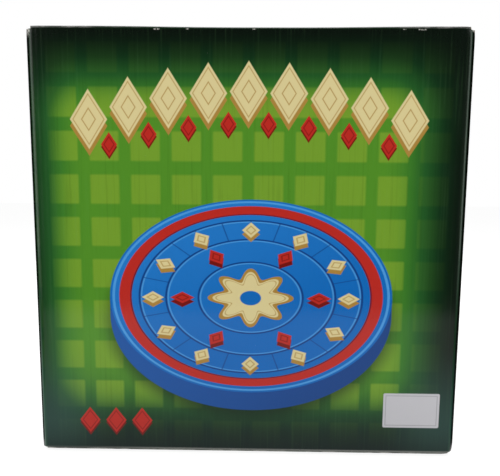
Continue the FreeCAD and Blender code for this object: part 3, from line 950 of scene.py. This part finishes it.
# Floor, light and camera, in metres
FLOOR_HALF = 4.0
FLOOR_DROP = 0.0002
FLOOR_CORNERS = [
    (x * FLOOR_HALF, y * FLOOR_HALF, -FLOOR_DROP) for x, y in ((-1, -1), (1, -1), (1, 1), (-1, 1))
]
FLOOR_GREY = 0.9
SHADOW_GREY = 0.3
FLOOR_WHITE = 0.85
FLAG_GREY = 0.004
FLAG_HEIGHT = 1.0
FLAG_LIFT = 0.0003
UPRIGHT_FLAGS = (
    ((-0.31, -0.385), (0.31, -0.385)),
    ((0.75, -0.44), (0.75, 0.95)),
    ((0.75, 0.95), (-0.75, 0.95)),
    ((-0.75, 0.95), (-0.75, -0.44)),
)
FLOOR_FLAG = ((0.145, -0.02), (0.32, -0.43), (0.75, -0.43), (0.75, 0.95), (0.145, 0.95))
AMBIENT = 0.42
LAMP_HEIGHT = 0.56
LAMP_LENGTH = 1.08

# Upright lamps: name, place, width, watts and whether reflections show them
UPRIGHT_LAMPS = (
    ("front_left", (-0.66, -0.63), 0.37, 3.6, True),
    ("front_right", (0.66, -0.63), 0.37, 3.4, True),
    ("rear_left", (-0.647, 0.639), 0.40, 3.2, False),
    ("rear_right", (0.647, 0.639), 0.40, 3.2, False),
)

# Lamp overhead: place, aim, width, length and watts
OVERHEAD_LAMP = ((0, 0.3, 1.25), (0, 0, 0.2), 1.1, 0.9, 7.0)


def stage_plane(name, corners, material):
    mesh = bpy.data.meshes.new(name)
    mesh.from_pydata(corners, [], [range(len(corners))])
    mesh.materials.append(material)
    plane = bpy.data.objects.new(name, mesh)
    scene.collection.objects.link(plane)
    return plane


def seen_white(tree):
    """1 for camera rays, mirrored rays and rays through a surface, which should meet white."""
    path = tree.nodes.new("ShaderNodeLightPath")
    camera_ray = Value(tree, path.outputs["Is Camera Ray"])
    glossy_ray = Value(tree, path.outputs["Is Glossy Ray"])
    return camera_ray.most(glossy_ray).most(Value(tree, path.outputs["Is Transmission Ray"]))


def mixed(tree, share, first, second):
    """The first shader where share is 0 and the second where it is 1."""
    node = tree.nodes.new("ShaderNodeMixShader")
    for slot, output in zip(node.inputs, (share, first, second)):
        tree.links.new(output, slot)
    return node.outputs[0]


def matte(tree, grey):
    node = tree.nodes.new("ShaderNodeBsdfDiffuse")
    node.inputs["Color"].default_value = (grey, grey, grey, 1)
    return node.outputs[0]


def floor_paint():
    """A pale floor, white to the camera but for the object's shadow, and clear from below."""
    material = bpy.data.materials.new("floor_paint")
    material.use_nodes = True
    tree = material.node_tree
    tree.nodes.clear()
    white = tree.nodes.new("ShaderNodeEmission")
    white.inputs["Strength"].default_value = FLOOR_WHITE
    shaded_white = tree.nodes.new("ShaderNodeAddShader")
    tree.links.new(matte(tree, SHADOW_GREY), shaded_white.inputs[0])
    tree.links.new(white.outputs[0], shaded_white.inputs[1])
    top = mixed(tree, seen_white(tree).socket, matte(tree, FLOOR_GREY), shaded_white.outputs[0])
    from_below = tree.nodes.new("ShaderNodeNewGeometry").outputs["Backfacing"]
    clear = tree.nodes.new("ShaderNodeBsdfTransparent").outputs[0]
    output = tree.nodes.new("ShaderNodeOutputMaterial")
    tree.links.new(mixed(tree, from_below, top, clear), output.inputs["Surface"])
    return material


def dark_flags():
    """Dark cloths that only reflections see, round the carton and on the floor beside it."""
    material = bpy.data.materials.new("flag_cloth")
    material.use_nodes = True
    shader = material.node_tree.nodes["Principled BSDF"]
    shader.inputs["Base Color"].default_value = (FLAG_GREY, FLAG_GREY, FLAG_GREY, 1)
    shader.inputs["Specular IOR Level"].default_value = 0.0
    shapes = [
        [(*start, 0), (*finish, 0), (*finish, FLAG_HEIGHT), (*start, FLAG_HEIGHT)]
        for start, finish in UPRIGHT_FLAGS
    ]
    shapes += [[(side * x, y, FLAG_LIFT) for x, y in FLOOR_FLAG] for side in (-1, 1)]
    for number, corners in enumerate(shapes):
        flag = stage_plane(f"dark_flag_{number}", corners, material)
        flag.visible_camera = False
        flag.visible_diffuse = False
        flag.visible_transmission = False
        flag.visible_shadow = False


def studio_world():
    """Soft light from all sides, with a white background."""
    world = bpy.data.worlds.new("studio")
    world.use_nodes = True
    tree = world.node_tree
    ambient = tree.nodes["Background"]
    ambient.inputs["Color"].default_value = (1, 1, 1, 1)
    ambient.inputs["Strength"].default_value = AMBIENT
    backdrop = tree.nodes.new("ShaderNodeBackground")
    backdrop.inputs["Color"].default_value = (1, 1, 1, 1)
    sky = mixed(tree, seen_white(tree).socket, ambient.outputs[0], backdrop.outputs[0])
    tree.links.new(sky, tree.nodes["World Output"].inputs["Surface"])
    return world


def softbox(name, place, aim, width, height, power, mirrored=True):
    """A rectangular lamp, which shows in reflections if it is mirrored."""
    lamp = bpy.data.lights.new(name, "AREA")
    lamp.shape = "RECTANGLE"
    lamp.size = width
    lamp.size_y = height
    lamp.energy = power
    holder = bpy.data.objects.new(name, lamp)
    holder.location = place
    holder.rotation_mode = "QUATERNION"
    holder.rotation_quaternion = (Vector(aim) - Vector(place)).to_track_quat("-Z", "Y")
    holder.visible_camera = False
    holder.visible_glossy = mirrored
    scene.collection.objects.link(holder)


stage_plane("floor", FLOOR_CORNERS, floor_paint())
dark_flags()
scene.world = studio_world()
for name, place, width, power, mirrored in UPRIGHT_LAMPS:
    softbox(name, (*place, LAMP_HEIGHT), (0, 0, LAMP_HEIGHT), width, LAMP_LENGTH, power, mirrored)
softbox("overhead", *OVERHEAD_LAMP)

# The photograph's camera: angles in degrees, focal length and width in pixels
CAMERA_PLACE = (0.0059, -0.3235, 0.1749)
CAMERA_PITCH = 6.278
CAMERA_YAW = -0.869
CAMERA_ROLL = 0.408
FOCAL_PIXELS = 480.0
IMAGE_WIDTH = 500
SENSOR_WIDTH = 36.0


def aimed_camera():
    """Camera at the photograph's place."""
    pitch, yaw, roll = (math.radians(a) for a in (CAMERA_PITCH, CAMERA_YAW, CAMERA_ROLL))
    ahead = Vector((math.sin(yaw) * math.cos(pitch), math.cos(yaw) * math.cos(pitch), -math.sin(pitch)))
    level = Vector((math.cos(yaw), -math.sin(yaw), 0.0))
    upright = level.cross(ahead)
    right = math.cos(roll) * level + math.sin(roll) * upright
    up = math.cos(roll) * upright - math.sin(roll) * level
    camera = bpy.data.objects.new("camera", bpy.data.cameras.new("camera"))
    camera.data.sensor_width = SENSOR_WIDTH
    camera.data.lens = FOCAL_PIXELS / IMAGE_WIDTH * SENSOR_WIDTH
    turn = Matrix((right, up, -ahead)).transposed().to_4x4()
    camera.matrix_world = Matrix.Translation(CAMERA_PLACE) @ turn
    scene.collection.objects.link(camera)
    return camera


scene.camera = aimed_camera()
scene.view_settings.view_transform = "Standard"
